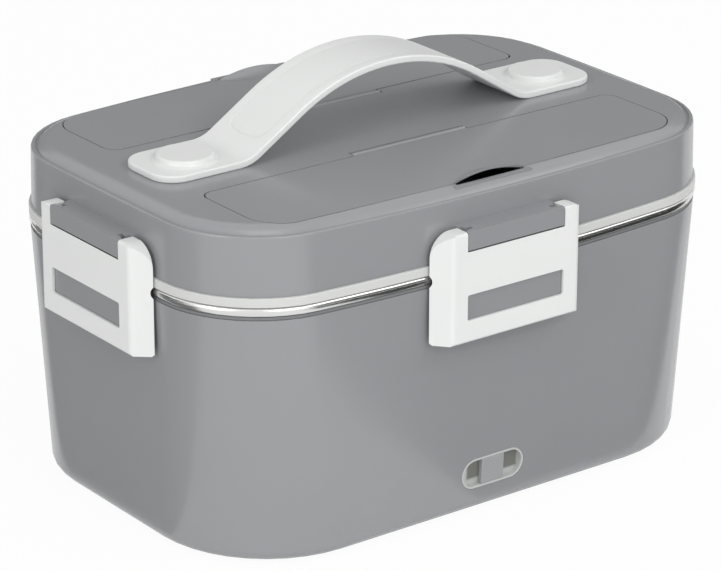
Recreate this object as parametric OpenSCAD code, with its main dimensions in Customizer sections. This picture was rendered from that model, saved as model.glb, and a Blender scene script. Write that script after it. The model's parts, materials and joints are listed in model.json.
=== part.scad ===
// Electric lunch box: a heated plastic housing, a lift-out steel container
// and a clip-on lid with two flapped compartments and a strap handle.
// Millimetres. Z is up, X runs along the box, the front wall faces -Y and
// the table is at z = 0.

/* [Housing] */
// Length of the housing at its upper edge
body_l = 235; // [232:1:238]
// Width of the housing at its upper edge, over the bowed walls
body_w = 164.8; // [163.8:0.2:166]
// Height of the housing wall's upper edge above the table
wall_top = 96; // [95:0.5:97]
// How much shorter the housing is at its foot
taper_l = 6.4; // [5:0.2:7]
// How much narrower the housing is at its foot
taper_w = 9.8; // [9:0.2:10]
// Plan radius of the corners at the upper edge
corner_r = 36.5; // [35:0.5:38]
// How much rounder the corners are at the foot
corner_grow = 10.9; // [9:0.1:12]
// Outward bow of the long walls at the upper edge
bow_long = 7.4; // [6.6:0.2:7.8]
// Outward bow of the short walls at the upper edge
bow_short = 1.3; // [1:0.1:1.6]
// Thickness of the moulded walls
wall = 2.2; // [2:0.1:2.4]
// Rounding of the housing's bottom edge
foot_round = 3.9; // [3:0.1:4]
// Height of the rubber feet below the housing
foot_h = 1; // [0.8:0.1:1.2]

/* [Container] */
// Wall thickness of the steel container
steel_t = 0.6; // [0.5:0.1:0.8]
// Height of the container's rolled rim
bead_h = 3.6; // [3.4:0.1:3.8]
// How far the rolled rim and the white ring stand out past the housing
rim_proud = 0.5; // [0.3:0.1:0.6]

/* [Lid] */
// Height of the white ring under the lid's skirt
ring_h = 3.5; // [3.2:0.1:3.7]
// Height of the lid's top above its skirt
lid_h = 24.6; // [24.2:0.1:25]
// Half of the length of a flap
flap_half_l = 94.2; // [92:0.2:95]
// Distance from the middle of the lid to a flap's outer edge
flap_out = 73; // [72:0.2:73.4]
// Bow of a flap's outer edge
flap_bow = 2.2; // [1.6:0.2:2.6]
// Thickness of a flap
flap_t = 2.1; // [1.8:0.1:2.2]
// Half of the length of a flap's hinge barrel
barrel_half_l = 26; // [22:1:27]
// Half of the width of the finger slot in a flap's edge
slot_half = 17; // [14:0.5:18]

/* [Handle] */
// Half of the width of the handle strap
strap_half_w = 15.6; // [14:0.2:16]
// Thickness of the strap
strap_t = 2.7; // [2.4:0.1:3]
// Half of the strap's length over its pads
strap_half_l = 100; // [98:0.5:102]
// Distance from the middle of the strap to each button
button_x = 81.2; // [80.4:0.2:82]
// Radius of the strap's arch on its underside
arch_r = 75; // [70:1:78]
// Slope of the strap's straight stretches, in degrees
arch_slope = 32.4; // [31:0.1:34]
// Rise of the strap's underside over the lid
arch_rise = 25.9; // [24:0.1:27]
// Radius of the bend where the strap meets the lid
bend_r = 17; // [15:1:20]

/* [Latches] */
// How far a latch's face stands out from the wall
latch_reach = 7.4; // [7:0.1:7.6]
// Half of the width of a latch's face, up to the line where its sides would meet it
latch_half_w = 28.5; // [28:0.1:29]
// Half of the width of a latch where it meets the wall
latch_half_back = 34.2; // [33.4:0.2:35]
// Thickness of a latch's plate
latch_t = 1; // [0.9:0.1:1.4]
// Radius of the pin that a latch turns on
pin_r = 1.25; // [1:0.05:1.5]

/* [Hidden] */

grey = "#8f9195";
white = "#dedfdd";
steel = "#c9cbcd";
dark = "#3a3d3c";

corner_steps = 10;    // segments round each corner of the plan
long_steps = 10;      // segments along each long wall
short_steps = 6;      // segments along each short wall
overlap = 1;          // how far a cutting shape runs past what it cuts

// Heights of the stack at the rim, from the housing wall up to the lid's top
gap = 0.1;
liner_top = wall_top + 1.2;
bead_top = liner_top + bead_h;
ring_z = bead_top + gap;
skirt_z = ring_z + ring_h;
lid_top = skirt_z + lid_h;
deck_t = 2.2;
deck_z = lid_top - deck_t;

// Heights inside the base
cover_z = 2;
cover_top = 4;
ledge_top = 6.2;
liner_floor = 20.4;
liner_floor_top = 22.4;
plate_top = 24.2;
pan_z = 24.3;

// Insets of the nested walls from the housing's plan outline
liner_in = 5.5;
liner_t = 1.5;
pan_in = 8.4;
ledge_in = 13;
cover_in = 5.3;

// ---- plan outline of the box -------------------------------------------

foot_bow = 0.06;      // share of the walls' bow that is left at the foot

// Share of the housing's height at z, 0 at its foot and 1 at its upper edge
function share(z) = min(1, max(0, (z - foot_h)/(wall_top - foot_h)));

// A rounded rectangle, counter-clockwise, with points along its sides
function plain_outline(hx, hy, r) = [
    for (k = [0:3])
        let (sx = [1, -1, -1, 1][k], sy = [1, 1, -1, -1][k],
             cx = hx - r, cy = hy - r,
             n = k % 2 == 0 ? long_steps : short_steps)
        each concat(
            [for (i = [0:corner_steps]) let (a = 90*(k + i/corner_steps))
                [sx*cx + r*cos(a), sy*cy + r*sin(a)]],
            [for (j = [1:n-1]) let (f = 1 - 2*j/n)
                k % 2 == 0 ? [sx*f*cx, sy*hy] : [sx*hx, sy*f*cy]])
];

// The same outline with each side bowed outward by a parabola
function bowed_outline(hx, hy, r, bx, by) = [
    for (p = plain_outline(hx, hy, r))
        [p[0] + sign(p[0])*bx*(1 - pow(p[1]/hy, 2)),
         p[1] + sign(p[1])*by*(1 - pow(p[0]/hx, 2))]
];

// Plan outline of the box at height z, drawn in by inset
function box_outline(z, inset) =
    let (t = share(z),
         bow = foot_bow + (1 - foot_bow)*t,
         bx = bow_short*bow,
         by = bow_long*bow,
         hx = (body_l - taper_l*(1 - t))/2 - bx - inset,
         hy = (body_w - taper_w*(1 - t))/2 - by - inset,
         r = corner_r + corner_grow*(1 - t) - inset)
    bowed_outline(hx, hy, r, bx, by);

// A closed skin through outlines of equal point count; levels = [[z, inset], ...]
module box_loft(levels) {
    rings = [for (l = levels) [for (p = box_outline(l[0], l[1])) [p[0], p[1], l[0]]]];
    n = len(rings[0]);
    m = len(rings);
    sides = [for (i = [0:m-2], j = [0:n-1]) let (k = (j + 1) % n, a = i*n, b = a + n)
        each [[a + j, b + j, b + k], [a + j, b + k, a + k]]];
    foot = [for (j = [0:n-1]) j];
    head = [for (j = [0:n-1]) m*n - 1 - j];
    polyhedron([for (ring = rings) each ring], concat(sides, [foot, head]));
}

// A straight prism of the plan outline as it is at the upper edge
module rim_prism(z0, z1, inset) {
    translate([0, 0, z0]) linear_extrude(z1 - z0) polygon(box_outline(wall_top, inset));
}

module rim_ring(z0, z1, outer_inset, inner_inset) {
    difference() {
        rim_prism(z0, z1, outer_inset);
        rim_prism(z0 - overlap, z1 + overlap, inner_inset);
    }
}

// ---- frames and small shapes -------------------------------------------

// Places what is drawn against the plane y = 0 on wall k: 0 front, 1 right,
// 2 rear, 3 left; -y points away from the box
module on_wall(k) {
    rotate(90*k) translate([0, -(k % 2 == 0 ? body_w : body_l)/2, 0]) children();
}

// Lean of the front and rear walls from the vertical, and the wall's place at z
wall_lean = atan(taper_w/2/(wall_top - foot_h));
function wall_y(z) = (body_w - taper_w*(1 - share(z)))/2;

// Places what is drawn in the X-Y plane, +z outward and +y up, on the leaning
// front wall at height z
module on_front(z) translate([0, -wall_y(z), z]) rotate([90 + wall_lean, 0, 0]) children();

// The same for the power inlet in the rear wall, which points straight back
module on_inlet() translate([0, wall_y(inlet_z), inlet_z]) rotate([90, 0, 180]) children();

// A flat bar with full-round ends, of overall length l and width w
module stadium(l, w) {
    square([l - w, w], center = true);
    for (s = [-1, 1]) translate([s*(l - w)/2, 0]) circle(d = w, $fn = 48);
}

// A rod along X from x0 to x1
module rod_x(x0, x1, r, facets = 40) {
    translate([x0, 0, 0]) rotate([0, 90, 0]) cylinder(h = x1 - x0, r = r, $fn = facets);
}

// ---- housing -----------------------------------------------------------

pill_z = 16;
pill_l = 29;
pill_w = 12.3;
inlet_z = 12.6;
inlet_l = 20;
inlet_w = 12.2;
flange_sunk = 0.6;    // how deep the inlet's flange is let into the wall

// Block that a closed latch bears on, seen through the latch's window
catch_half_w = 21.9;
catch_z = 82;
catch_top = 95.4;
catch_reach = latch_reach - latch_t - 0.2;
catch_slope = 2;      // bevel of the block's upper and lower outer edges

module catch_block() {
    profile = [
        [3, catch_z - catch_slope], [0.3, catch_z - catch_slope], [-catch_reach, catch_z],
        [-catch_reach, catch_top - catch_slope], [-catch_reach + catch_slope, catch_top],
        [3, catch_top]
    ];
    translate([-catch_half_w, 0, 0]) rotate([90, 0, 90])
        linear_extrude(2*catch_half_w) polygon(profile);
}

module outer_housing() color(grey) difference() {
    union() {
        difference() {
            box_loft(concat(
                [for (a = [0:22.5:90])
                    [foot_h + foot_round*(1 - cos(a)), foot_round*(1 - sin(a))]],
                [[wall_top, 0]]));
            box_loft([[ledge_top, wall], [wall_top + overlap, wall]]);
            translate([0, 0, cover_top - overlap]) linear_extrude(2*overlap + ledge_top - cover_top)
                polygon(box_outline(foot_h, ledge_in));
            translate([0, 0, -overlap]) linear_extrude(cover_top + overlap)
                polygon(box_outline(foot_h, cover_in - 0.3));
        }
        for (k = [0:3]) on_wall(k) difference() {
            catch_block();
            translate([-catch_half_w - overlap, wall + 0.3, 0])
                cube([2*catch_half_w + 2*overlap, 10, wall_top]);
        }
    }
    on_front(pill_z) translate([0, 0, -6]) linear_extrude(12) stadium(pill_l, pill_w);
    on_inlet() translate([0, 0, -6]) linear_extrude(12) stadium(inlet_l + 0.1, inlet_w + 0.1);
    on_inlet() translate([0, 0, -flange_sunk - 0.05]) linear_extrude(12)
        stadium(inlet_l + 5.1, inlet_w + 5.1);
}

post_x = 62;
post_y = 58;
foot_x = 85;
foot_y = 48;

module at_corners(x, y) {
    for (sx = [-1, 1], sy = [-1, 1]) translate([sx*x, sy*y, 0]) children();
}

module base_cover() color(grey) difference() {
    translate([0, 0, cover_z]) linear_extrude(cover_top - cover_z - 0.05)
        polygon(box_outline(foot_h, cover_in));
    at_corners(post_x, post_y) translate([0, 0, cover_z - overlap]) cylinder(h = 4, r = 1.6, $fn = 32);
    for (x = [-40:10:40])
        translate([x - 1, -20, cover_z - overlap]) cube([2, 40, 4]);
}

module base_feet() color(dark) at_corners(foot_x, foot_y) rotate_extrude($fn = 48)
    polygon([[0, 0], [7.2, 0], [8, 0.8], [8, cover_z], [0, cover_z]]);

module base_screws() color(steel) at_corners(post_x, post_y) {
    translate([0, 0, 0.7]) cylinder(h = cover_z - 0.7, r = 3, $fn = 32);
    translate([0, 0, cover_z - 0.01]) cylinder(h = 11, r = 1.2, $fn = 32);
}

window_l = 150;       // opening under the heater plate
window_w = 80;

module inner_liner() color("#e8e8e4") difference() {
    union() {
        difference() {
            union() {
                box_loft([[liner_floor, liner_in + 4], [liner_floor + 1.2, liner_in + 1.2],
                          [liner_floor + 4, liner_in], [wall_top, liner_in],
                          [wall_top + 0.5, liner_in]]);
                rim_prism(wall_top + gap, liner_top, 0.3);
            }
            box_loft([[liner_floor_top, liner_in + liner_t + 3],
                      [liner_floor_top + 3, liner_in + liner_t],
                      [wall_top, liner_in + liner_t],
                      [liner_top + overlap, liner_in + liner_t]]);
        }
        at_corners(post_x, post_y) translate([0, 0, cover_top])
            cylinder(h = liner_floor - cover_top + 0.5, r = 4, $fn = 40);
    }
    translate([-window_l/2, -window_w/2, liner_floor - overlap]) cube([window_l, window_w, 4]);
    at_corners(post_x, post_y) translate([0, 0, cover_top - overlap])
        cylinder(h = 11, r = 1.2, $fn = 32);
}

// ---- heater and wiring inside the base ---------------------------------

clamp_hole_x = 70;

module heater_plate() color("#d4d6d8") difference() {
    translate([0, 0, liner_floor_top]) linear_extrude(plate_top - liner_floor_top) difference() {
        square([164, 94], center = true);
        for (sx = [-1, 1], sy = [-1, 1]) translate([sx*82, sy*47]) rotate(45)
            square(12, center = true);
    }
    for (s = [-1, 1]) translate([s*clamp_hole_x, 0, liner_floor_top - overlap])
        cylinder(h = overlap + 1.3, r = 1.25, $fn = 32);
}

ptc_h = 5;
module ptc_heaters() color("#b98f5a") for (s = [-1, 1])
    translate([s*32 - 24, -12, liner_floor_top - ptc_h]) cube([48, 24, ptc_h]);

module heater_clamp() color(steel) {
    low = liner_floor_top - ptc_h;
    t = 1.2;
    difference() {
        union() {
            translate([-63, -7, low - t]) cube([126, 14, t]);
            for (s = [-1, 1]) {
                translate([s*62.4 - 0.6, -7, low - t]) cube([1.2, 14, ptc_h + t]);
                translate([s*68 - 6.2, -7, liner_floor_top - t]) cube([12.4, 14, t]);
            }
        }
        for (s = [-1, 1]) translate([s*clamp_hole_x, 0, 10]) cylinder(h = 20, r = 1.4, $fn = 32);
    }
}

module clamp_screws() color(steel) for (s = [-1, 1]) translate([s*clamp_hole_x, 0, 0]) {
    translate([0, 0, liner_floor_top - 3.2]) cylinder(h = 2, r = 2.4, $fn = 32);
    translate([0, 0, liner_floor_top - 1.3]) cylinder(h = 2.5, r = 1.25, $fn = 32);
}

thermo = [38, -26];
module thermostat() color(dark) {
    translate([thermo[0], thermo[1], liner_floor_top - 4]) cylinder(h = 4, r = 8, $fn = 48);
    translate([thermo[0], thermo[1], liner_floor_top - 7]) cylinder(h = 3.1, r = 6.5, $fn = 48);
    for (s = [-1, 1]) translate([thermo[0] + s*4 - 1, thermo[1] - 0.4, liner_floor_top - 11])
        cube([2, 0.8, 4.1]);
}

fuse = [-32, -24];
module thermal_fuse() color("#caa24a")
    translate([fuse[0], fuse[1], liner_floor_top - 2.1]) rod_x(-6, 6, 2);

board_y = 73.6;       // front face of the lamp board behind the front wall
board_t = 1.6;
module circuit_board() color("#2f6b45")
    translate([-24, -board_y, ledge_top]) cube([48, board_t, liner_floor - ledge_top - 0.8]);

lamp_x = 9.6;
module indicator_leds() color("#e9e6da") for (s = [-1, 1])
    translate([s*lamp_x, -board_y, pill_z]) rotate([90, 0, 0]) cylinder(h = 0.9, r = 1.5, $fn = 32);

well_depth = 2.4;
bar_half = 5.1;
module indicator_lens() color("#c9cdc6") on_front(pill_z) difference() {
    union() {
        translate([0, 0, -3.3]) linear_extrude(3.3) stadium(pill_l - 0.1, pill_w - 0.1);
        translate([0, 0, -3.3]) linear_extrude(1) stadium(pill_l + 3, pill_w + 3);
    }
    translate([0, 0, -well_depth]) linear_extrude(well_depth + overlap)
        stadium(pill_l - 2, pill_w - 2);
}

module indicator_bar() color(grey) on_front(pill_z)
    translate([-bar_half, -5.1, -well_depth]) cube([2*bar_half, 10.2, well_depth]);

inlet_depth = 16;
socket_depth = 12;
inlet_pin_r = 1.2;
inlet_pin_x = 4.3;
inlet_pin_l = 10;     // length of a pin in the socket
inlet_tail_r = 0.9;   // radius of a pin's tail through the socket's back wall
module power_inlet() color(dark) on_inlet() difference() {
    union() {
        translate([0, 0, -inlet_depth]) linear_extrude(inlet_depth) stadium(inlet_l, inlet_w);
        translate([0, 0, -flange_sunk]) linear_extrude(1.6) stadium(inlet_l + 5, inlet_w + 5);
    }
    translate([0, 0, -socket_depth]) linear_extrude(20) stadium(inlet_l - 3.4, inlet_w - 3.4);
    for (s = [-1, 1]) translate([s*inlet_pin_x, 0, -inlet_depth - overlap])
        cylinder(h = 6, r = inlet_tail_r, $fn = 32);
}

module inlet_pins() color(steel) on_inlet() for (s = [-1, 1]) translate([s*inlet_pin_x, 0, 0]) {
    translate([0, 0, -socket_depth]) cylinder(h = inlet_pin_l, r = inlet_pin_r, $fn = 32);
    translate([0, 0, -inlet_depth - 3])
        cylinder(h = inlet_depth + 3 - socket_depth + overlap, r = inlet_tail_r, $fn = 32);
}

// A round wire swept along a route of hand-placed points
wire_sides = 8;
function unit(v) = v/norm(v);
function smoothed(p) = [
    p[0],
    for (i = [0:len(p) - 2]) each [0.75*p[i] + 0.25*p[i + 1], 0.25*p[i] + 0.75*p[i + 1]],
    p[len(p) - 1]
];
module wire(route, r) {
    path = smoothed(smoothed(route));
    m = len(path);
    rings = [for (i = [0:m-1])
        let (t = unit(path[min(m - 1, i + 1)] - path[max(0, i - 1)]),
             side = unit(cross(t, [0, 0, 1])),
             up = cross(t, side))
        [for (j = [0:wire_sides-1]) let (a = 360*j/wire_sides)
            path[i] + r*(cos(a)*side + sin(a)*up)]];
    n = wire_sides;
    sides = [for (i = [0:m-2], j = [0:n-1]) let (k = (j + 1) % n, a = i*n, b = a + n)
        each [[a + j, b + j, b + k], [a + j, b + k, a + k]]];
    polyhedron([for (ring = rings) each ring],
        concat(sides, [[for (j = [0:n-1]) j], [for (j = [0:n-1]) m*n - 1 - j]]));
}

wire_r = 0.9;
live_route = [[-4.3, 59, 12.6], [-4.3, 54, 12], [-14, 46, 9.5], [-30, 30, 8.6], [-20, 4, 8.2],
    [10, -14, 8.6], [26, -22, 9], [31, -25.6, 9.8], [34, -26, 10.4]];
neutral_route = [[4.3, 59, 12.6], [4.3, 54, 12], [14, 44, 9.5], [40, 30, 9.5], [60, 22, 13],
    [60, 11, 19], [58.5, 9.2, 19.8], [56.1, 9.2, 19.8]];
heater_route = [[42, -26, 10.4], [44, -31, 9.6], [40, -36, 9.6], [20, -40, 9.6], [-6, -36, 12],
    [-16, -28, 17], [-22, -24.5, 20], [-25.9, -24, 20.3]];
lamp_route = [[0, -71.9, 12], [0, -66, 12], [-16, -58, 10], [-44, -40, 12], [-50, -28, 16],
    [-46, -24.5, 20], [-38.1, -24, 20.3]];

module live_wire() color("#8a5a3a") wire(live_route, wire_r);
module neutral_wire() color("#3f62a8") wire(neutral_route, wire_r);
module heater_wire() color("#d9d6cc") wire(heater_route, wire_r);
module lamp_wire() color("#b03a36") wire(lamp_route, wire_r);

// ---- steel container ---------------------------------------------------

pan_round = 6;
rim_t = 0.8;

module steel_container() color(steel) difference() {
    union() {
        box_loft(concat(
            [for (a = [0:30:90])
                [pan_z + pan_round*(1 - cos(a)), pan_in + pan_round*(1 - sin(a))]],
            [[wall_top, pan_in], [bead_top, pan_in]]));
        // rolled rim, a bead open to the inside
        difference() {
            box_loft([[liner_top, 0.6], [liner_top + 0.4, -0.1],
                      [liner_top + 1, 0.15 - rim_proud], [liner_top + 1.8, -rim_proud],
                      [bead_top - 1, 0.15 - rim_proud], [bead_top - 0.4, -0.1],
                      [bead_top, 0.6]]);
            rim_prism(liner_top - overlap, bead_top - rim_t, 2.6);
        }
    }
    box_loft(concat(
        [for (a = [0:30:90])
            [pan_z + steel_t + (pan_round - steel_t)*(1 - cos(a)),
             pan_in + steel_t + (pan_round - steel_t)*(1 - sin(a))]],
        [[wall_top, pan_in + steel_t], [bead_top + overlap, pan_in + steel_t]]));
}

// ---- lid ---------------------------------------------------------------

hinge_y = 26.2;       // hinge axis of each flap
hinge_z = lid_top - 1.4;
barrel_r = 1.6;
hinge_pin_r = 0.75;
flap_in = 28.5;       // inner edge of a flap's leaf
seat_gap = 0.4;       // space round a leaf
hinge_gap = 0.75;     // space between a leaf's inner edge and the lid's middle
tray_in = 31;         // inner wall of a compartment
tray_out = 69.6;
tray_half_l = 89;
tray_floor = lid_top - 19;
tray_t = 1.8;

// Plan of the front flap's leaf, grown by g on every side
function flap_outline(g) =
    let (x = flap_half_l + g, y0 = -flap_in + g, y1 = -flap_out + flap_bow - g,
         r0 = 5 + g, r1 = 14 + g)
    concat(
        [for (i = [0:6]) let (a = 15*i) [x - r0 + r0*cos(a), y0 - r0 + r0*sin(a)]],
        [for (i = [6:-1:0]) let (a = 15*i) [-x + r0 - r0*cos(a), y0 - r0 + r0*sin(a)]],
        [for (i = [0:9]) let (a = 10*i) [-x + r1 - r1*cos(a), y1 + r1 - r1*sin(a)]],
        [for (i = [1:15]) let (f = i/8 - 1)
            [f*(x - r1), y1 - flap_bow*(1 - f*f)]],
        [for (i = [9:-1:0]) let (a = 10*i) [x - r1 + r1*cos(a), y1 + r1 - r1*sin(a)]]);

// Draws its children for the front half of the lid and again for the rear half
module both_halves() {
    children();
    rotate(180) children();
}

module at_hinge() translate([0, -hinge_y, hinge_z]) children();

// Inside of a compartment, open at the top
module tray_space(g) {
    translate([-tray_half_l - g, -tray_out - g, tray_floor - g])
        linear_extrude(lid_top - tray_floor + overlap) difference() {
            square([2*(tray_half_l + g), tray_out - tray_in + 2*g]);
            for (x = [0, 2*(tray_half_l + g)]) translate([x, 0]) rotate(45)
                square(12, center = true);
        }
}

// Lug between a latch's ears: flush with the latch's face, with a gap beside each ear
axis_in = 3.4;                          // latch axis behind the latch's face
axis_z = skirt_z + 9.2;
lug_r = 4.95;
lug_half_w = 21.9;
lug_top = skirt_z + 12.6;
lug_low = skirt_z + 5.4;
// Gap between the lug and an ear, and the shallow slot that runs on from it along the lug
lug_gap_w = 1.5;
lug_gap_l = 4.2;
lug_gap_in = 2;       // start of the gap behind the face
lug_gap_low = axis_z - 2;
lug_slot_l = 4.1;
lug_slot_w = 1.9;
lug_slot_in = 2.6;
lug_slot_low = lug_top - 1.9;

module lug() difference() {
    translate([-lug_half_w, 0, 0]) rotate([90, 0, 90]) linear_extrude(2*lug_half_w) union() {
        intersection() {
            translate([-latch_reach + axis_in, axis_z]) circle(lug_r, $fn = 64);
            translate([-latch_reach, lug_low]) square([8, lug_top - lug_low]);
        }
        translate([-latch_reach + axis_in, lug_low])
            square([latch_reach - axis_in + 2.6, lug_top - lug_low]);
    }
    translate([0, -latch_reach + axis_in, axis_z]) rod_x(-40, 40, pin_r + 0.06);
    for (s = [-1, 1]) translate([s*lug_half_w, -latch_reach, 0]) {
        translate([-lug_gap_w, lug_gap_in, lug_gap_low]) cube([2*lug_gap_w, lug_gap_l, 10]);
        translate([-lug_slot_l, lug_slot_in, lug_slot_low]) cube([2*lug_slot_l, lug_slot_w, 10]);
    }
}

// Well for a finger in front of each flap's slot
well_half = 15.5;
well_out = flap_out + 1.8;
well_floor = deck_z - 6;
ledge_t = 1.6;        // ledge that carries the edge of a leaf
module finger_well(g) translate([-well_half - g, -well_out - g, well_floor - g])
    cube([2*(well_half + g), well_out - tray_out + g + overlap, 10]);

vent_at = [-70, 50];
vent_r = 5;

module lid_shell() color(grey) difference() {
    union() {
        difference() {
            box_loft([[skirt_z, 0.5], [lid_top - 3.4, 0.92], [lid_top - 2.7, 1.15],
                      [lid_top - 2.4, 1.8], [lid_top - 2.4, 2.4], [lid_top - 3, 2.7],
                      [lid_top - 3, 3.1], [lid_top - 2, 3.9], [lid_top - 1.15, 5],
                      [lid_top - 0.45, 6.5], [lid_top, 8.8]]);
            box_loft([[skirt_z - overlap, 2.9], [deck_z - 3, 3.3], [deck_z, 6.5]]);
        }
        both_halves() {
            tray_space(tray_t);
            finger_well(tray_t);
            // ledge under the edge of the leaf's seat
            translate([0, 0, deck_z - ledge_t]) linear_extrude(ledge_t + overlap)
                polygon(flap_outline(seat_gap + ledge_t));
            // block that carries the ends of the flap's hinge pin
            translate([-barrel_half_l - 6, -tray_in, deck_z - 3])
                cube([2*barrel_half_l + 12, tray_in - 23.4, deck_t + 3]);
        }
        for (k = [0:3]) on_wall(k) lug();
        translate([vent_at[0], vent_at[1], ring_z + 2.4])
            cylinder(h = tray_floor - ring_z - 2.4, r = vent_r + 2, $fn = 48);
    }
    both_halves() {
        tray_space(0);
        finger_well(0);
        // seat of the leaf, wider along the hinge so that the leaf can turn
        translate([0, 0, lid_top - flap_t - 0.1]) linear_extrude(flap_t + overlap)
            for (y = [0, hinge_gap - seat_gap]) translate([0, y]) polygon(flap_outline(seat_gap));
        // room for the hinge barrel, and the holes for its pin
        translate([-barrel_half_l - 0.4, -flap_in, hinge_z - 2.2])
            cube([2*barrel_half_l + 0.8, flap_in - 24.1, 10]);
        translate([-barrel_half_l - 0.4, -tray_in - overlap, hinge_z - 2.2])
            cube([2*barrel_half_l + 0.8, 6, 10]);
        at_hinge() rod_x(-barrel_half_l - 4, barrel_half_l + 4, hinge_pin_r, 32);
    }
    for (s = [-1, 1]) translate([s*button_x, 0, deck_z - overlap])
        cylinder(h = 6, r = 4.1, $fn = 40);
    translate([vent_at[0], vent_at[1], ring_z]) cylinder(h = 20, r = vent_r, $fn = 48);
}

seal_z = ring_z - 0.05;
module lid_inner_plate() color(white) difference() {
    union() {
        rim_prism(ring_z, ring_z + 2.4, -rim_proud);
        rim_ring(ring_z, skirt_z - 0.02, -rim_proud, 3.2);
        rim_prism(ring_z - 4, ring_z + 1, pan_in + steel_t + 1.6);
    }
    rim_prism(ring_z - 4 - overlap, ring_z + 0.9, pan_in + steel_t + 3.6);
    rim_ring(ring_z - overlap, ring_z + 1.3, 3.4, 7.2);
    translate([vent_at[0], vent_at[1], ring_z - overlap]) cylinder(h = 8, r = vent_r, $fn = 48);
}

module lid_seal() color("#f2f2ee") rim_ring(seal_z, ring_z + 1.25, 3.5, 7.1);

module steam_vent_plug() color("#f2f2ee") translate([vent_at[0], vent_at[1], 0]) {
    translate([0, 0, tray_floor]) cylinder(h = 3, r = 8, $fn = 48);
    translate([0, 0, ring_z + 0.6]) cylinder(h = tray_floor - ring_z, r = vent_r - 0.08, $fn = 48);
}

// ---- handle ------------------------------------------------------------

// Half of the strap's line at height h above its own underside: arch, slope, bend
arch_x = arch_r*sin(arch_slope);
arch_drop = arch_r*(1 - cos(arch_slope));
bend_drop = bend_r*(1 - cos(arch_slope));
slope_x = (arch_rise - arch_drop - bend_drop)/tan(arch_slope);
bend_end = arch_x + slope_x + bend_r*sin(arch_slope);
apex_z = lid_top + arch_rise;

// Right half of the strap's line, from the apex to the pad, moved out by t
function strap_line(t) = concat(
    [for (i = [0:12]) let (a = arch_slope*i/12)
        [(arch_r + t)*sin(a), apex_z - arch_r + (arch_r + t)*cos(a)]],
    [for (i = [8:-1:0]) let (a = arch_slope*i/8)
        [bend_end - (bend_r - t)*sin(a), lid_top + bend_r - (bend_r - t)*cos(a)]],
    [[strap_half_l, lid_top + t]]);

function mirrored(p) = [for (i = [len(p)-1:-1:0]) [-p[i][0], p[i][1]]];

module handle_strap() color(white) difference() {
    intersection() {
        translate([0, 50, 0]) rotate([90, 0, 0]) linear_extrude(100)
            polygon(concat(mirrored(strap_line(strap_t)), strap_line(strap_t),
                [for (p = mirrored(strap_line(0))) [-p[0], p[1]]],
                [for (p = strap_line(0)) [-p[0], p[1]]]));
        linear_extrude(200) difference() {
            union() {
                square([2*(strap_half_l - 10), 2*strap_half_w], center = true);
                square([2*strap_half_l, 2*(strap_half_w - 10)], center = true);
                for (sx = [-1, 1], sy = [-1, 1])
                    translate([sx*(strap_half_l - 10), sy*(strap_half_w - 10)]) circle(10, $fn = 60);
            }
        }
    }
    for (s = [-1, 1]) translate([s*button_x, 0, lid_top - overlap])
        cylinder(h = 6, r = 4.1, $fn = 40);
}

pad_top = lid_top + strap_t;
button_low = deck_z + 0.1;
module handle_buttons() color(white) for (s = [-1, 1]) translate([s*button_x, 0, 0])
    rotate_extrude($fn = 72) polygon([
        [1.5, button_low], [4, button_low], [4, pad_top], [12.3, pad_top], [12.1, pad_top + 0.2],
        [11, pad_top + 0.3], [10.7, pad_top + 0.6], [10.6, pad_top + 1.6], [10.3, pad_top + 2.1],
        [9.8, pad_top + 2.3], [3.6, pad_top + 2.3], [3, pad_top + 2.1], [0, pad_top + 2.1],
        [0, pad_top - 0.6], [1.5, pad_top - 0.6]]);

module handle_screws() color(steel) for (s = [-1, 1]) translate([s*button_x, 0, 0]) {
    translate([0, 0, deck_z - 1.6]) cylinder(h = 1.6, r = 6, $fn = 40);
    translate([0, 0, deck_z - 0.01]) cylinder(h = 3.6, r = 1.5, $fn = 32);
}

// ---- flaps -------------------------------------------------------------

module flap_hinge_pins() color(steel) both_halves()
    at_hinge() rod_x(-barrel_half_l - 3.8, barrel_half_l + 3.8, hinge_pin_r, 32);

slot_depth = 7;
lip_rise = 2.7;
lip_depth = 7.6;
lip_t = 0.8;
lip_r = (slot_half*slot_half + lip_rise*lip_rise)/(2*lip_rise);
lip_tilt = atan(lip_rise/lip_depth);
thinned_half = 12;    // where the leaf is thinned from below, behind the slot
thinned_in = 11;
thinned_t = 0.9;

// Half width of the lip over the leaf's top, at depth d behind its front edge
function lip_half(d) = sqrt(2*lip_r*lip_rise*(1 - d/lip_depth));

// Plan of the slot under the lip
module slot_plan() translate([0, -flap_out + 0.2]) polygon(concat(
    [[-slot_half + 1, -3], [slot_half - 1, -3]],
    [for (d = [0:slot_depth]) [lip_half(d) - 1, d]],
    [for (d = [slot_depth:-1:0]) [1 - lip_half(d), d]]));

// Arched lip over the finger slot: a vault that sinks into the leaf behind it
module finger_lip() intersection() {
    translate([-slot_half - 3, -flap_out + 0.2, lid_top - flap_t])
        cube([2*slot_half + 6, lip_depth + 4, 8]);
    translate([0, -flap_out + 0.2, lid_top + lip_rise]) rotate([-90 - lip_tilt, 0, 0])
        translate([0, lip_r, -3]) difference() {
            cylinder(h = lip_depth + 8, r = lip_r, $fn = 120);
            translate([0, 0, -overlap]) cylinder(h = slot_depth + 5, r = lip_r - lip_t, $fn = 120);
        }
}

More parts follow.
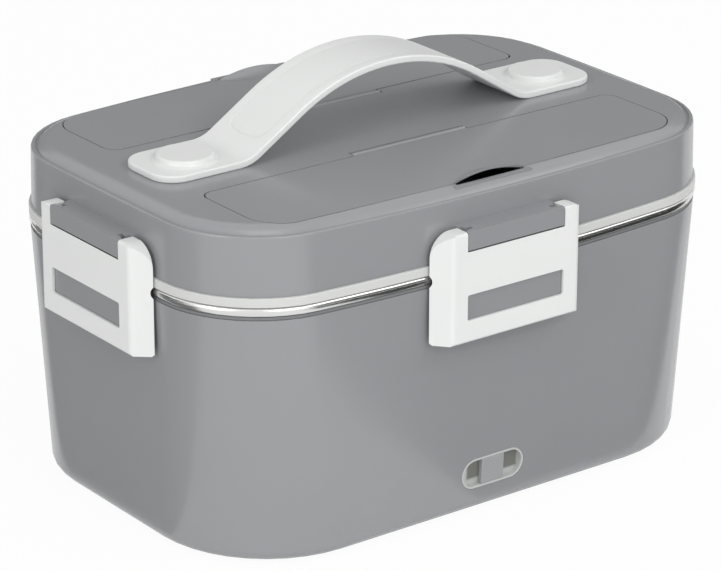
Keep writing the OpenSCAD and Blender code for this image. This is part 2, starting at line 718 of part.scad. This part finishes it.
module flap() difference() {
    union() {
        difference() {
            translate([0, 0, lid_top - flap_t]) linear_extrude(flap_t) polygon(flap_outline(0));
            translate([0, 0, lid_top - flap_t - overlap]) linear_extrude(8) slot_plan();
            translate([-thinned_half, -flap_out, lid_top - flap_t - overlap])
                cube([2*thinned_half, thinned_in, flap_t + overlap - thinned_t]);
        }
        finger_lip();
        at_hinge() rod_x(-barrel_half_l, barrel_half_l, barrel_r);
        translate([-barrel_half_l, -flap_in - overlap, hinge_z - 0.4])
            cube([2*barrel_half_l, flap_in + overlap - hinge_y, 1.6]);
    }
    at_hinge() rod_x(-40, 40, hinge_pin_r + 0.05, 32);
}

module front_flap() color(grey) flap();
module rear_flap() color(grey) rotate(180) flap();

// ---- latches -----------------------------------------------------------

latch_back = 0.8;     // space between a latch's ears and the rim
latch_low = skirt_z - 29.5;
latch_top = skirt_z + 12.4;
bar_top = skirt_z + 5.1;
window_z = skirt_z - 21.1;
window_top = skirt_z - 11.3;
window_half = 22;
window_r = 0.8;
ear_in = 22.2;
ear_round = 1.2;      // rounding of an ear's upper front edge
ear_turn_r = latch_reach - axis_in + 0.38;   // keeps the turning ear clear of the lid
shoulder_r = 9;       // rounding of an ear's upper outer corner, seen from the front
notch_r = 3.3;        // shallow notch in an ear, round the steel rim
notch_depth = 0.8;
hollow_t = 1.5;       // walls round the hollow behind each ear
hollow_top = skirt_z - 3;
flare = atan2(latch_reach - latch_back, latch_half_back - latch_half_w);
edge_r = 3;           // rounding between a latch's face and its flared sides
edge_in = edge_r*tan(flare/2);

// Side view of an ear: flat face, chamfered foot and a rounded top
module ear_profile() difference() {
    intersection() {
        union() {
            polygon([[-latch_reach, latch_low + 0.8], [-latch_reach + 0.8, latch_low],
                [-latch_back - 0.8, latch_low], [-latch_back, latch_low + 0.8],
                [-latch_back, latch_top], [-latch_reach + ear_round, latch_top],
                [-latch_reach, latch_top - ear_round]]);
            translate([-latch_reach + ear_round, latch_top - ear_round])
                circle(ear_round, $fn = 48);
        }
        union() {
            translate([-latch_reach + axis_in, axis_z]) circle(ear_turn_r, $fn = 96);
            translate([-latch_reach - 1, latch_low - 1])
                square([latch_reach + 1, axis_z - latch_low + 1]);
            translate([-latch_reach - 1, latch_low - 1]) square([axis_in + 1, 60]);
        }
    }
    translate([notch_r - latch_back - notch_depth, liner_top + bead_h/2])
        circle(notch_r, $fn = 64);
}

// Plan of both ears, flaring out towards the wall
module ears_plan() for (s = [-1, 1]) scale([s, 1]) union() {
    polygon([[ear_in, -latch_reach], [latch_half_w - edge_in, -latch_reach],
        [latch_half_w + edge_in*cos(flare), -latch_reach + edge_in*sin(flare)],
        [latch_half_back, -latch_back], [ear_in, -latch_back]]);
    translate([latch_half_w - edge_in, -latch_reach + edge_r]) circle(edge_r, $fn = 60);
}

// Front view of both ears, with a round shoulder
module ears_front() for (s = [-1, 1]) scale([s, 1]) union() {
    polygon([[ear_in, latch_low - 1], [latch_half_back, latch_low - 1],
        [latch_half_back, latch_top - shoulder_r], [latch_half_back - shoulder_r, latch_top],
        [ear_in, latch_top]]);
    translate([latch_half_back - shoulder_r, latch_top - shoulder_r])
        circle(shoulder_r, $fn = 120);
}

// Plan of the hollows, open towards the wall
hollow_corner = [latch_half_w - hollow_t*tan(flare/2), -latch_reach + hollow_t];
hollow_open = hollow_corner + 9*[cos(flare), sin(flare)];
module hollows_plan() for (s = [-1, 1]) scale([s, 1]) polygon([
    [ear_in + hollow_t, hollow_corner[1]], hollow_corner, hollow_open,
    [ear_in + hollow_t, hollow_open[1]]]);

module latch_window() union() {
    translate([-window_half, window_z + window_r])
        square([2*window_half, window_top - window_z - 2*window_r]);
    translate([-window_half + window_r, window_z])
        square([2*window_half - 2*window_r, window_top - window_z]);
    for (x = [-1, 1], z = [window_z + window_r, window_top - window_r])
        translate([x*(window_half - window_r), z]) circle(window_r, $fn = 32);
}

module latch() difference() {
    union() {
        intersection() {
            translate([0, 0, latch_low]) linear_extrude(60) ears_plan();
            translate([-50, 0, 0]) rotate([90, 0, 90]) linear_extrude(100) ear_profile();
            rotate([90, 0, 0]) linear_extrude(20) ears_front();
        }
        difference() {
            translate([-ear_in - overlap, 0, 0]) rotate([90, 0, 90])
                linear_extrude(2*ear_in + 2*overlap) polygon([
                    [-latch_reach, latch_low + 0.8], [-latch_reach + 0.8, latch_low],
                    [-latch_reach + latch_t, latch_low],
                    [-latch_reach + latch_t, bar_top - latch_t], [-latch_reach, bar_top]]);
            rotate([90, 0, 0]) linear_extrude(20) latch_window();
        }
    }
    translate([0, 0, latch_low + 2]) linear_extrude(hollow_top - latch_low - 2) hollows_plan();
    translate([0, -latch_reach + axis_in, axis_z]) rod_x(-29, 29, pin_r);
}

module latch_pin() translate([0, -latch_reach + axis_in, axis_z]) rod_x(-28.9, 28.9, pin_r);

module front_latch() color(white) on_wall(0) latch();
module right_latch() color(white) on_wall(1) latch();
module rear_latch() color(white) on_wall(2) latch();
module left_latch() color(white) on_wall(3) latch();
module front_latch_pin() color(steel) on_wall(0) latch_pin();
module right_latch_pin() color(steel) on_wall(1) latch_pin();
module rear_latch_pin() color(steel) on_wall(2) latch_pin();
module left_latch_pin() color(steel) on_wall(3) latch_pin();

outer_housing();
base_cover();
base_feet();
base_screws();
inner_liner();
heater_plate();
ptc_heaters();
heater_clamp();
clamp_screws();
thermostat();
thermal_fuse();
circuit_board();
indicator_leds();
indicator_lens();
indicator_bar();
power_inlet();
inlet_pins();
live_wire();
neutral_wire();
heater_wire();
lamp_wire();
steel_container();
lid_shell();
lid_inner_plate();
lid_seal();
steam_vent_plug();
handle_strap();
handle_buttons();
handle_screws();
flap_hinge_pins();
front_flap();
rear_flap();
front_latch();
right_latch();
rear_latch();
left_latch();
front_latch_pin();
right_latch_pin();
rear_latch_pin();
left_latch_pin();
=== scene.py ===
"""Electric lunch box: finishes, softened mouldings, studio and camera."""

import json
import math

import bmesh
import bpy
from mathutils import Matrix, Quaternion, Vector

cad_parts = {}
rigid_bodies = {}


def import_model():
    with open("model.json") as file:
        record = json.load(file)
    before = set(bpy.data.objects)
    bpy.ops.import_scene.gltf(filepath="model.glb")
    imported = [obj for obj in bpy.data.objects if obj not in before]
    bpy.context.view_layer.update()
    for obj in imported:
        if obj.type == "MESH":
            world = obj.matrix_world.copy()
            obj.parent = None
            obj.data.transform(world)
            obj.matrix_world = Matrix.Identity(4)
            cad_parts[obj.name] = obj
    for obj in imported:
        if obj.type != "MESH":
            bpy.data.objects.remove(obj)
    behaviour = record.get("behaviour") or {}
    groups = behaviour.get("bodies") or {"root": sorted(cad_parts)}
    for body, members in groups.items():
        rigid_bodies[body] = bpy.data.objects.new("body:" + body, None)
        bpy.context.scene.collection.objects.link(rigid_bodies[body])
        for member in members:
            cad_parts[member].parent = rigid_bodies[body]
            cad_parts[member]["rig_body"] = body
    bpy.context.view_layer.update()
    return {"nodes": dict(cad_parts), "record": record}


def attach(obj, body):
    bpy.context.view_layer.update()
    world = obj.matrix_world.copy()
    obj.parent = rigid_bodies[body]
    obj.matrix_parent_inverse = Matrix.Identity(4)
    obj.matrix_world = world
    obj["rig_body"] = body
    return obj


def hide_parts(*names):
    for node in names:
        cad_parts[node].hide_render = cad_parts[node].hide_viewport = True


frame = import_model()
nodes = frame["nodes"]
MM = 0.001

# ---------------------------------------------------------------- finishes


def new_finish(name, colour, roughness, **settings):
    """A material with a plain Principled shader; settings are its other sockets."""
    material = bpy.data.materials.new(name)
    material.use_nodes = True
    shader = material.node_tree.nodes["Principled BSDF"]
    shader.inputs["Base Color"].default_value = (*colour, 1)
    shader.inputs["Roughness"].default_value = roughness
    for socket, value in settings.items():
        shader.inputs[socket.replace("_", " ")].default_value = value
    return material, shader


def add_node(material, kind, **values):
    """A shader node with its properties and input sockets set by name."""
    node = material.node_tree.nodes.new(kind)
    for key, value in values.items():
        if key in node.inputs:
            node.inputs[key].default_value = value
        else:
            setattr(node, key, value)
    return node


def join(material, source, output, target, socket):
    material.node_tree.links.new(source.outputs[output], target.inputs[socket])


def object_noise(material, size, detail=2.0, stretch=(1, 1, 1)):
    """Noise on the object's own coordinates whose grains are about size metres."""
    place = add_node(material, "ShaderNodeTexCoord")
    scaled = add_node(material, "ShaderNodeMapping")
    scaled.inputs["Scale"].default_value = stretch
    noise = add_node(material, "ShaderNodeTexNoise", Scale=1 / size, Detail=detail)
    join(material, place, "Object", scaled, "Vector")
    join(material, scaled, "Vector", noise, "Vector")
    return noise


def tint(material, shader, noise, colour, amount):
    """Colour that drifts a little lighter and darker with the noise."""
    ramp = add_node(material, "ShaderNodeValToRGB")
    for stop, factor in zip(ramp.color_ramp.elements, (1 - amount, 1 + amount)):
        stop.color = (*[min(1, c * factor) for c in colour], 1)
    ramp.color_ramp.elements[0].position = 0.3
    ramp.color_ramp.elements[1].position = 0.7
    join(material, noise, "Fac", ramp, "Fac")
    join(material, ramp, "Color", shader, "Base Color")


def roughen(material, shader, noise, low, high):
    """Roughness between low and high, following the noise."""
    spread = add_node(material, "ShaderNodeMapRange")
    spread.inputs["To Min"].default_value = low
    spread.inputs["To Max"].default_value = high
    join(material, noise, "Fac", spread, "Value")
    join(material, spread, "Result", shader, "Roughness")


def emboss(material, shader, noise, height):
    """Bump of that height in metres."""
    bump = add_node(material, "ShaderNodeBump", Strength=1.0, Distance=height)
    join(material, noise, "Fac", bump, "Height")
    join(material, bump, "Normal", shader, "Normal")


PLASTIC_GRAIN = 0.5 * MM     # sizes of the patches in a plastic's grain, tone and gloss
PLASTIC_TONE = 50 * MM
PLASTIC_GLOSS = 20 * MM
PLASTIC_RELIEF = 0.02 * MM   # height of that grain
METAL_MARKS = 0.6 * MM
METAL_TONE = 30 * MM
METAL_RELIEF = 0.01 * MM


def moulded_plastic(name, colour, roughness, relief=PLASTIC_RELIEF, drift=0.02, **more):
    """Injection-moulded plastic: fine spark-eroded grain and slow drifts of tone and gloss."""
    material, shader = new_finish(name, colour, roughness, **more)
    tint(material, shader, object_noise(material, PLASTIC_TONE), colour, drift)
    gloss = object_noise(material, PLASTIC_GLOSS)
    roughen(material, shader, gloss, roughness - 0.04, roughness + 0.05)
    emboss(material, shader, object_noise(material, PLASTIC_GRAIN, 1.0), relief)
    return material


def rolled_metal(name, colour, roughness, stretch=(1, 1, 1)):
    """Sheet metal with fine marks; a stretch packs them closer along one direction."""
    material, shader = new_finish(name, colour, roughness, Metallic=1.0)
    marks = object_noise(material, METAL_MARKS, 3.0, stretch)
    tint(material, shader, object_noise(material, METAL_TONE), colour, 0.03)
    roughen(material, shader, marks, roughness - 0.05, roughness + 0.08)
    emboss(material, shader, marks, METAL_RELIEF)
    return material


WALL_LEAN = math.atan(4.9 / 95)          # the front wall leans out 4.9 mm over 95 mm of height
WALL_OUT = (0, -math.cos(WALL_LEAN), -math.sin(WALL_LEAN))
WALL_UP = (0, -math.sin(WALL_LEAN), math.cos(WALL_LEAN))
LENS_FACE = 77.346 * MM                  # place of the lens's face along WALL_OUT
LENS_MIDDLE = 20.01 * MM                 # its middle line, measured along WALL_UP
LENS_GRAIN = 0.6 * MM
LENS_PALE = (0.55, 0.56, 0.55)
# Painted shade: the colour given to the wells' floors in place of the shadow in those recesses.
LENS_WELL_SHADE = (0.21, 0.21, 0.195)
WELL_DEPTH = 2.1 * MM                    # what lies deeper than this behind the face gets the painted shade
WELL_FOOT = 2.9 * MM                     # and what is higher than this far below the middle line
WELL_PAST = 9 * MM                       # clear of the lens on its inner and upper side
WELL_LEFT, WELL_RIGHT = -10.4 * MM, 13.0 * MM


def within(material, source, output, low, high, soft):
    """1 where the value lies between low and high, with soft borders."""
    rise = add_node(material, "ShaderNodeMapRange")
    fall = add_node(material, "ShaderNodeMapRange")
    for edge, start, end in ((rise, low - soft, low + soft), (fall, high + soft, high - soft)):
        edge.inputs["From Min"].default_value = start
        edge.inputs["From Max"].default_value = end
        join(material, source, output, edge, "Value")
    both = add_node(material, "ShaderNodeMath", operation="MULTIPLY")
    material.node_tree.links.new(rise.outputs[0], both.inputs[0])
    material.node_tree.links.new(fall.outputs[0], both.inputs[1])
    return both


def lens_finish():
    """Pale frame with painted shade on the floors of its two wells."""
    material, shader = new_finish("lens_plastic", LENS_PALE, 0.22)
    place = add_node(material, "ShaderNodeTexCoord")
    masks = []
    for axis, low, high, soft in (
            (WALL_OUT, LENS_FACE - WELL_PAST, LENS_FACE - WELL_DEPTH, 0.15 * MM),
            (WALL_UP, LENS_MIDDLE - WELL_FOOT, LENS_MIDDLE + WELL_PAST, 0.5 * MM),
            ((1, 0, 0), WELL_LEFT, WELL_RIGHT, 0.6 * MM)):
        along = add_node(material, "ShaderNodeVectorMath", operation="DOT_PRODUCT")
        along.inputs[1].default_value = axis
        join(material, place, "Object", along, 0)
        masks.append(within(material, along, "Value", low, high, soft))
    total = masks[0]
    for mask in masks[1:]:
        product = add_node(material, "ShaderNodeMath", operation="MULTIPLY")
        material.node_tree.links.new(total.outputs[0], product.inputs[0])
        material.node_tree.links.new(mask.outputs[0], product.inputs[1])
        total = product
    # Painted shade: the masked well floors are coloured darker than the pale frame.
    ramp = add_node(material, "ShaderNodeValToRGB")
    ramp.color_ramp.elements[0].color = (*LENS_PALE, 1)
    ramp.color_ramp.elements[1].color = (*LENS_WELL_SHADE, 1)
    join(material, total, 0, ramp, "Fac")
    join(material, ramp, "Color", shader, "Base Color")
    emboss(material, shader, object_noise(material, LENS_GRAIN, 1.0), PLASTIC_RELIEF)
    return material


FINISHES = {
    "grey_plastic": moulded_plastic("grey_plastic", (0.292, 0.298, 0.310), 0.22, drift=0.01, IOR=1.6),
    "white_plastic": moulded_plastic("white_plastic", (0.80, 0.81, 0.80), 0.36, drift=0.01),
    "liner_plastic": moulded_plastic("liner_plastic", (0.20, 0.205, 0.21), 0.5, drift=0.01),
    "dark_plastic": moulded_plastic("dark_plastic", (0.03, 0.03, 0.033), 0.5),
    "black_rubber": moulded_plastic("black_rubber", (0.03, 0.03, 0.03), 0.75, relief=0.04 * MM),
    "silicone": moulded_plastic("silicone", (0.78, 0.78, 0.76), 0.55, drift=0.01),
    "ceramic_element": moulded_plastic("ceramic_element", (0.45, 0.26, 0.13), 0.6),
    "board_laminate": moulded_plastic("board_laminate", (0.04, 0.17, 0.07), 0.35),
    "lamp_epoxy": moulded_plastic("lamp_epoxy", (0.80, 0.79, 0.70), 0.2),
    "live_wire_skin": moulded_plastic("live_wire_skin", (0.26, 0.11, 0.05), 0.5),
    "neutral_wire_skin": moulded_plastic("neutral_wire_skin", (0.04, 0.10, 0.42), 0.5),
    "link_wire_skin": moulded_plastic("link_wire_skin", (0.70, 0.69, 0.63), 0.8),
    "lamp_wire_skin": moulded_plastic("lamp_wire_skin", (0.42, 0.04, 0.03), 0.5),
    "stainless_steel": rolled_metal("stainless_steel", (0.74, 0.74, 0.73), 0.2, (1, 1, 12)),
    "bright_steel": rolled_metal("bright_steel", (0.76, 0.76, 0.77), 0.18),
    "heater_aluminium": rolled_metal("heater_aluminium", (0.80, 0.81, 0.82), 0.35, (1, 14, 1)),
    "fuse_brass": rolled_metal("fuse_brass", (0.72, 0.52, 0.22), 0.3),
    "lens_plastic": lens_finish(),
}
RING_WHITE = moulded_plastic("ring_white", (0.64, 0.645, 0.63), 0.45, drift=0.01)
BAR_GREY = moulded_plastic("bar_grey", (0.36, 0.365, 0.375), 0.3, drift=0.01)
SLOT_OF = {s["node"]: s["material_slot"] for s in frame["record"]["subparts"]}


def finish_piece(obj, slot, material=None):
    """Gives a new piece the material of that slot, or one of its own."""
    obj.data.materials.clear()
    obj.data.materials.append(material or FINISHES[slot])


def finish_cad_nodes():
    """Every CAD node gets its procedural material."""
    for name, obj in nodes.items():
        obj.data.materials.clear()
        obj.data.materials.append(FINISHES[SLOT_OF[name]])


# ---------------------------------------------------------------- modelling


def deselect_all():
    bpy.ops.object.select_all(action="DESELECT")


def make_active(obj):
    deselect_all()
    obj.select_set(True)
    bpy.context.view_layer.objects.active = obj


def apply_modifiers(obj):
    make_active(obj)
    for modifier in list(obj.modifiers):
        bpy.ops.object.modifier_apply(modifier=modifier.name)


def smooth_by_angle(obj, degrees):
    make_active(obj)
    bpy.ops.object.shade_smooth_by_angle(angle=math.radians(degrees))


def weigh_normals(obj):
    """Lets the large faces set the shading, so that flats stay flat beside a rounded edge."""
    weighted = obj.modifiers.new("normals", "WEIGHTED_NORMAL")
    weighted.keep_sharp = True
    weighted.weight = 100
    apply_modifiers(obj)


def enter_edit(obj, kind):
    """Edit mode on obj with nothing selected, for picking that kind of element."""
    make_active(obj)
    bpy.ops.object.mode_set(mode="EDIT")
    bpy.ops.mesh.select_mode(type=kind)
    bpy.ops.mesh.select_all(action="DESELECT")
    return bmesh.from_edit_mesh(obj.data)


def edit_faces(obj, chosen):
    """Opens edit mode on obj with just the faces selected that chosen(face) picks."""
    mesh = enter_edit(obj, "FACE")
    for face in [f for f in mesh.faces if chosen(f)]:
        face.select_set(True)
    bmesh.update_edit_mesh(obj.data)


def edit_corners(obj, chosen):
    """The same with single vertices."""
    mesh = enter_edit(obj, "VERT")
    for corner in [v for v in mesh.verts if chosen(v)]:
        corner.select_set(True)
    bmesh.update_edit_mesh(obj.data)


def leave_edit():
    bpy.ops.object.mode_set(mode="OBJECT")


UPWARD = 0.7                 # a face or corner whose normal rises more than this is on top
PANEL_AREA = 20 * MM * MM    # the strap's wide faces are larger than this
PANEL_HALF_L = 56 * MM       # their middles lie within this, short of the bends to the pads
PANEL_MIDDLE = 2 * MM        # and this close to the strap's middle line
BORDER_MARGIN = 3.9 * MM     # from the strap's rounded edge to its border line
BORDER_TURN = 6.5 * MM       # taken off each corner of that line to round it
CORNER_REACH = 0.3 * MM      # how near the line's ends and sides a corner of it lies
GROOVE = ((0.25, -0.3), (0.35, 0), (0.25, 0.3))   # width and step of its walls and floor, in mm


def strap_panel(face):
    """Whether a face is one of the wide ones on top of the strap's arch and slopes."""
    middle = face.calc_center_median()
    return (face.normal.z > UPWARD and face.calc_area() > PANEL_AREA
            and abs(middle.x) < PANEL_HALF_L and abs(middle.y) < PANEL_MIDDLE)


def strap_border(strap):
    """A fine groove round the strap's arch, with rounded ends short of the pads."""
    edit_faces(strap, strap_panel)
    bpy.ops.mesh.inset(thickness=BORDER_MARGIN, use_boundary=True, use_even_offset=True)
    leave_edit()
    inner = [p for p in strap.data.polygons if p.select]
    reach_x = max(abs(strap.data.vertices[v].co.x) for p in inner for v in p.vertices)
    reach_y = max(abs(strap.data.vertices[v].co.y) for p in inner for v in p.vertices)
    edit_corners(strap, lambda v: v.normal.z > UPWARD
                 and abs(abs(v.co.x) - reach_x) < CORNER_REACH
                 and abs(abs(v.co.y) - reach_y) < CORNER_REACH)
    bpy.ops.mesh.bevel(offset=BORDER_TURN, segments=6, affect="VERTICES")
    leave_edit()
    edit_faces(strap, strap_panel)
    for width, depth in GROOVE:
        bpy.ops.mesh.inset(thickness=width * MM, depth=depth * MM, use_boundary=True)
    leave_edit()


def carve(piece, low, high):
    """Takes the box between two corners, in millimetres, out of a piece."""
    middle = [(a + b) / 2 * MM for a, b in zip(low, high)]
    bpy.ops.mesh.primitive_cube_add(size=1, location=middle)
    cutter = bpy.context.object
    cutter.scale = [(b - a) * MM for a, b in zip(low, high)]
    cut = piece.modifiers.new("cut", "BOOLEAN")
    cut.operation = "DIFFERENCE"
    cut.object = cutter
    apply_modifiers(piece)
    make_active(cutter)
    bpy.ops.object.delete()


ROOM_HALF_L = 16.9                # the room under a flap's leaf at its finger slot, in millimetres
ROOM_INNER, ROOM_OUTER = 62, 76
ROOM_FOOT, ROOM_TOP = 125, 128.1


def thin_front_leaf(flap):
    """Room below the leaf at the ends of its finger slot, so that the slot looks open."""
    carve(flap, (-ROOM_HALF_L, -ROOM_OUTER, ROOM_FOOT), (ROOM_HALF_L, -ROOM_INNER, ROOM_TOP))


def thin_rear_leaf(flap):
    """The same room under the rear flap's leaf."""
    carve(flap, (-ROOM_HALF_L, ROOM_INNER, ROOM_FOOT), (ROOM_HALF_L, ROOM_OUTER, ROOM_TOP))


WELD = 0.002 * MM                 # corners this close are one
FLAT = math.radians(0.6)          # faces this nearly level with each other are one


def softened(node, width, segments=3, sharp=35, carving=None, detail=None, material=None):
    """A copy of a CAD node in its place, with whole faces and rounded edges.

    Edges of more than sharp degrees get a bevel of that width. The function carving works on the
    piece before the bevel, and detail after it.
    """
    piece = bpy.data.objects.new(node + "_moulding", nodes[node].data.copy())
    bpy.context.scene.collection.objects.link(piece)
    make_active(piece)
    bpy.ops.object.mode_set(mode="EDIT")
    bpy.ops.mesh.select_all(action="SELECT")
    bpy.ops.mesh.remove_doubles(threshold=WELD)
    bpy.ops.mesh.dissolve_limited(angle_limit=FLAT)
    leave_edit()
    if carving:
        carving(piece)
    if width:
        bevel = piece.modifiers.new("edges", "BEVEL")
        bevel.width = width
        bevel.segments = segments
        bevel.limit_method = "ANGLE"
        bevel.angle_limit = math.radians(sharp)
        bevel.miter_outer = "MITER_ARC"
        apply_modifiers(piece)
    if detail:
        detail(piece)
    smooth_by_angle(piece, sharp)
    weigh_normals(piece)
    finish_piece(piece, SLOT_OF[node], material)
    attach(piece, nodes[node]["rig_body"])
    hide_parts(node)


# ---------------------------------------------------------------- studio

FOOT_GAP = 1.0 * MM          # the ground is this far below the housing's foot
VIEW_AZIMUTH = math.radians(-36.814)
VIEW_ELEVATION = math.radians(21.489)
VIEW_DISTANCE = 1.3568       # metres
VIEW_ROLL = math.radians(0.074)
VIEW_LENS = 177.9            # focal length in millimetres, on Blender's own 36 mm sensor
LOOK_AT = Vector((2.373 * MM, 6.199 * MM, 59.942 * MM + FOOT_GAP))
LAMPS_AIM = Vector((0, 0, 0.06))
WORLD_LIGHT = 0.55           # the world's strength as a light; it is 1 to WHITE_RAYS
GROUND_SIZE = 6
GROUND_DROP = 0.2 * MM       # keeps the ground clear of the feet
GROUND_GLOW = 0.95           # share of plain white in what WHITE_RAYS see of the ground


def add_camera():
    """The camera where the photo's outline of the box puts it."""
    back = Vector((
        math.sin(VIEW_AZIMUTH) * math.cos(VIEW_ELEVATION),
        -math.cos(VIEW_AZIMUTH) * math.cos(VIEW_ELEVATION),
        math.sin(VIEW_ELEVATION),
    ))
    data = bpy.data.cameras.new("view")
    data.lens = VIEW_LENS
    data.clip_start, data.clip_end = 0.05, 20
    camera = bpy.data.objects.new("view", data)
    bpy.context.scene.collection.objects.link(camera)
    camera.location = LOOK_AT + back * VIEW_DISTANCE
    turn = (-back).to_track_quat("-Z", "Y")
    camera.rotation_mode = "QUATERNION"
    camera.rotation_quaternion = Quaternion(back, VIEW_ROLL) @ turn
    bpy.context.scene.camera = camera


def add_softbox(name, place, size, power):
    """A white rectangular lamp, with its power in watts, aimed at the middle of the box."""
    data = bpy.data.lights.new(name, "AREA")
    data.shape = "RECTANGLE"
    data.size, data.size_y = size
    data.energy = power
    lamp = bpy.data.objects.new(name, data)
    bpy.context.scene.collection.objects.link(lamp)
    lamp.location = place
    aim = LAMPS_AIM - Vector(place)
    lamp.rotation_mode = "QUATERNION"
    lamp.rotation_quaternion = aim.to_track_quat("-Z", "Y")


WHITE_RAYS = ("Is Camera Ray", "Is Glossy Ray", "Is Transmission Ray")


def white_rays(owner):
    """An output that is 1 where one of WHITE_RAYS looks, else 0, in a material or the world."""
    path = add_node(owner, "ShaderNodeLightPath")
    seen = path.outputs[WHITE_RAYS[0]]
    for ray in WHITE_RAYS[1:]:
        either = add_node(owner, "ShaderNodeMath", operation="MAXIMUM")
        owner.node_tree.links.new(seen, either.inputs[0])
        owner.node_tree.links.new(path.outputs[ray], either.inputs[1])
        seen = either.outputs[0]
    return seen


def set_world():
    """White background for the eye and for reflections, soft grey light on the object."""
    world = bpy.data.worlds.new("studio")
    world.use_nodes = True
    bpy.context.scene.world = world
    tree = world.node_tree
    background = tree.nodes["Background"]
    background.inputs["Color"].default_value = (1, 1, 1, 1)
    level = add_node(world, "ShaderNodeMapRange")
    level.inputs["To Min"].default_value = WORLD_LIGHT
    level.inputs["To Max"].default_value = 1.0
    tree.links.new(white_rays(world), level.inputs["Value"])
    tree.links.new(level.outputs["Result"], background.inputs["Strength"])


def add_floor():
    """A pale ground that reads white and keeps the object's soft shadow."""
    bpy.ops.mesh.primitive_plane_add(size=GROUND_SIZE, location=(0, 0, -GROUND_DROP))
    floor = bpy.context.object
    floor.name = "ground"
    material, shader = new_finish("ground_white", (0.9, 0.9, 0.9), 0.9)
    glow = add_node(material, "ShaderNodeEmission", Strength=1.0)
    glow.inputs["Color"].default_value = (1, 1, 1, 1)
    blend = add_node(material, "ShaderNodeMixShader")
    share = add_node(material, "ShaderNodeMath", operation="MULTIPLY")
    tree = material.node_tree
    tree.links.new(white_rays(material), share.inputs[0])
    share.inputs[1].default_value = GROUND_GLOW
    tree.links.new(share.outputs[0], blend.inputs["Fac"])
    tree.links.new(shader.outputs["BSDF"], blend.inputs[1])
    tree.links.new(glow.outputs["Emission"], blend.inputs[2])
    tree.links.new(blend.outputs["Shader"], tree.nodes["Material Output"].inputs["Surface"])
    floor.data.materials.append(material)


LYING = (0, 0, 0)
# The rear flag faces the camera, and the upright ones at the sides face its mirror image.
FLAG_TURN = 36.9             # degrees


def upright(degrees):
    """The turn of a flag that stands on its edge, that many degrees about the vertical."""
    return (math.radians(90), 0, math.radians(degrees))


def add_flag(name, place, size, grey, turn=LYING):
    """A grey studio flag that only reflections see."""
    bpy.ops.mesh.primitive_plane_add(size=1, location=place, rotation=turn)
    flag = bpy.context.object
    flag.name = name
    flag.scale = (*size, 1)
    material, _ = new_finish(name, (0, 0, 0), 1.0)
    glow = add_node(material, "ShaderNodeEmission", Strength=1.0)
    glow.inputs["Color"].default_value = (grey, grey, grey, 1)
    join(material, glow, "Emission", material.node_tree.nodes["Material Output"], "Surface")
    flag.data.materials.append(material)
    flag.visible_camera = flag.visible_diffuse = flag.visible_shadow = False
    flag.visible_transmission = flag.visible_volume_scatter = False


def set_studio():
    """Ground, world, lamps, flags and camera, with the colours shown as they are."""
    bpy.context.scene.view_settings.view_transform = "Standard"
    set_world()
    add_floor()
    add_softbox("key", (-0.3, -1.7, 0.9), (1.0, 1.0), 8.5)
    add_softbox("side", (-1.7, -0.4, 0.7), (0.8, 1.0), 7.5)
    add_softbox("right", (0.75, -1.0, 1.15), (1.2, 0.5), 4.2)
    add_softbox("top", (-0.25, -0.4, 1.7), (0.8, 0.8), 3)
    add_flag("flag_rear", (0.9, 1.2, 0.55), (2.6, 1.1), 0.25, upright(-FLAG_TURN))
    add_flag("flag_right", (0.66, -0.335, 0.0), (1.32, 0.50), 0.05)
    add_flag("flag_right_upright", (0.75, -0.70, 0.10), (1.3, 0.5), 0.03, upright(FLAG_TURN))
    add_flag("flag_left", (-0.40, 0.30, 0.0), (0.56, 0.66), 0.2)
    add_flag("flag_left_upright", (-0.72, 0.55, 0.10), (1.0, 0.5), 0.1, upright(FLAG_TURN))
    add_camera()


deselect_all()
finish_cad_nodes()
softened("outer_housing", 0.4 * MM)
softened("lid_shell", 0.25 * MM, 2)
softened("front_flap", 0.4 * MM, carving=thin_front_leaf)
softened("rear_flap", 0.4 * MM, carving=thin_rear_leaf)
softened("handle_strap", 0.7 * MM, detail=strap_border)
softened("handle_buttons", 0, sharp=50)
softened("lid_inner_plate", 0.4 * MM, material=RING_WHITE)
softened("steel_container", 0)
softened("indicator_lens", 0.3 * MM)
softened("indicator_bar", 0.35 * MM, material=BAR_GREY)
softened("inner_liner", 0.3 * MM)
for latch in ("front_latch", "right_latch", "rear_latch", "left_latch"):
    softened(latch, 0.5 * MM)
set_studio()
